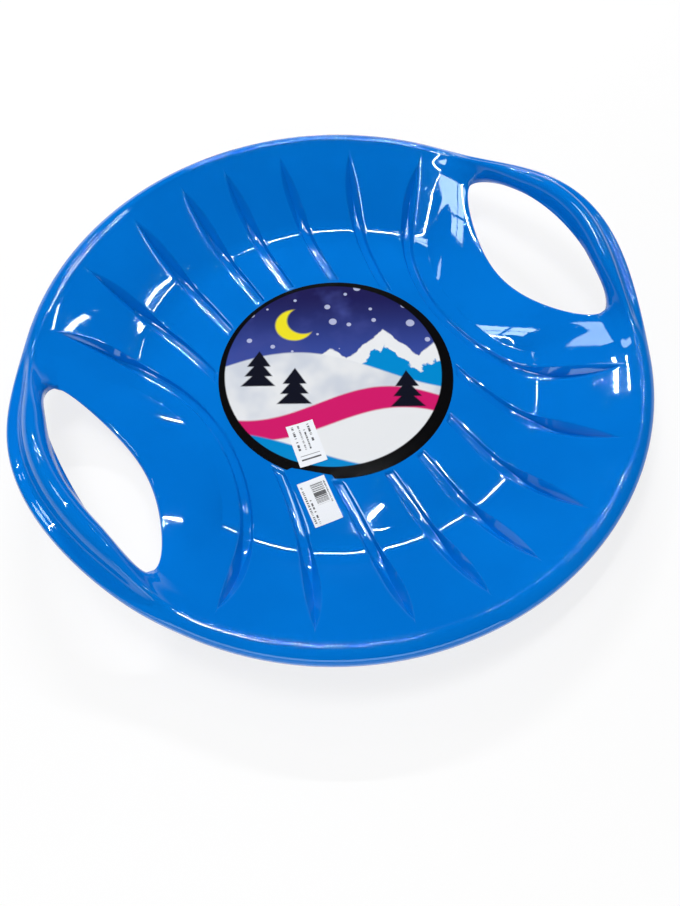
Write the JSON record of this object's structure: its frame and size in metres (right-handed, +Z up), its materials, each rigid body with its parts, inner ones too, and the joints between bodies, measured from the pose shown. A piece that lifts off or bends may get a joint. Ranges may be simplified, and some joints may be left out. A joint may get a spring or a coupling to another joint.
{
  "type": "saucer sled",
  "caption": "Round moulded plastic saucer sled with a rolled rim, raised loop grips at opposite sides, runner grooves and a round floor decal.",
  "frame": {"origin": "centre of the bounding box in plan, on the surface the runners rest on", "axes": "+X from grip to grip, +Y the way the sled slides, +Z up"},
  "size_m": [0.56, 0.5498, 0.0856],
  "materials": {
    "shell_plastic": "glossy moulded blue polypropylene",
    "decal_film": "printed vinyl with a satin gloss",
    "label_paper": "matt white label"
  },
  "bodies": {
    "root": {"saucer_body": "shell_plastic", "decal": "decal_film", "barcode_label": "label_paper", "price_label": "label_paper"}
  },
  "joints": []
}
